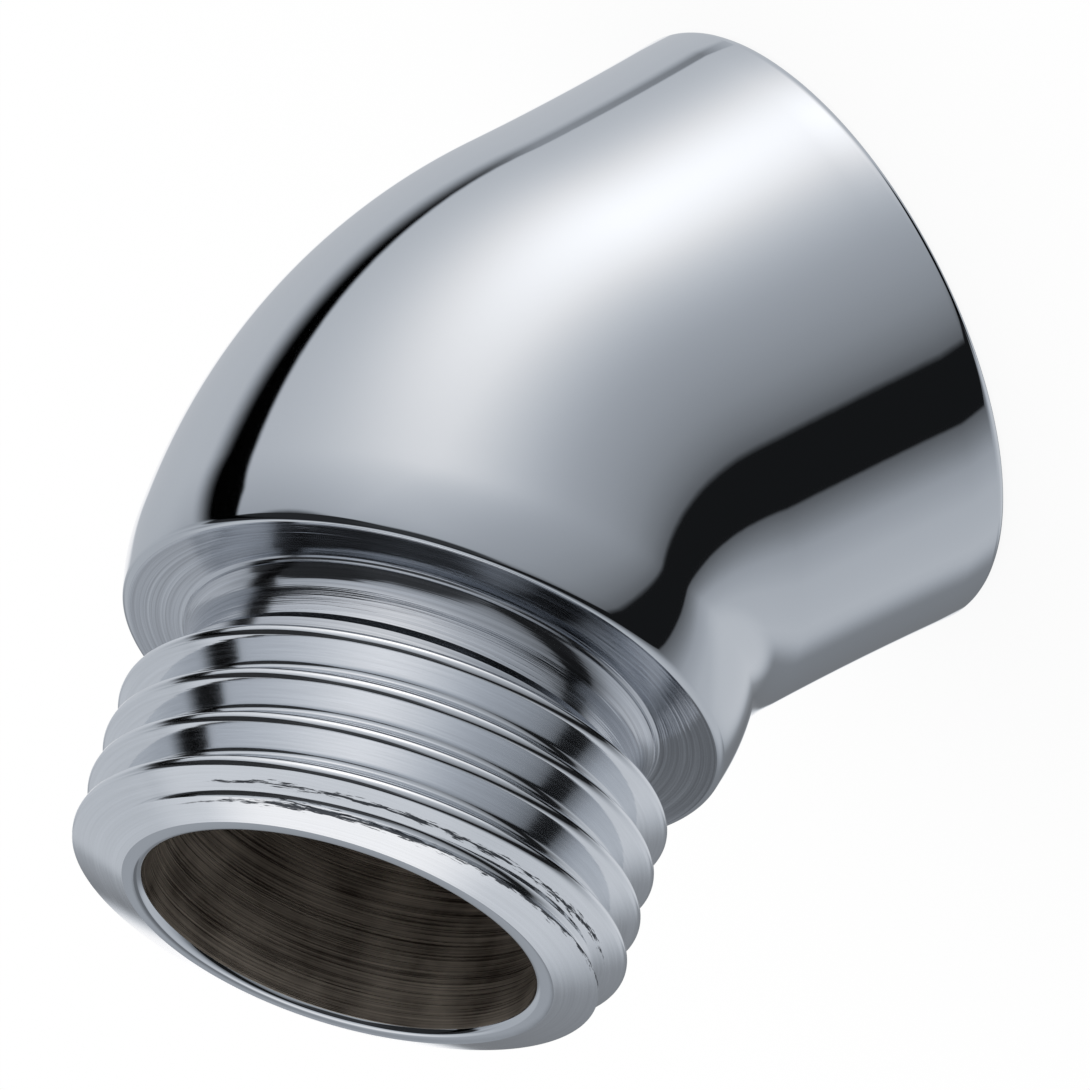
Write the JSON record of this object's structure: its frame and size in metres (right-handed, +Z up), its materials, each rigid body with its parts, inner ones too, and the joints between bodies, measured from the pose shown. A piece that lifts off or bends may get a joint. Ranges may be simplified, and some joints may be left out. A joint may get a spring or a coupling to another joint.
{
  "type": "wall outlet elbow",
  "caption": "One-piece chromed brass elbow, bent by 40 degrees, with a G 1/2 male spigot at one end and a G 1/2 threaded socket at the other.",
  "frame": {"origin": "centre of the socket's mouth, in the plane of its flat rim", "axes": "+Z up along the socket's axis into the elbow; +X towards the side that the spigot leans to; +Y completes the right-handed frame and is square to the plane of the bend"},
  "size_m": [0.032, 0.025, 0.0361],
  "materials": {
    "chromed_brass": "polished chrome plate outside and on the threads, bare turned metal in the bore"
  },
  "bodies": {
    "root": {"elbow_body": "chromed_brass"}
  },
  "joints": []
}
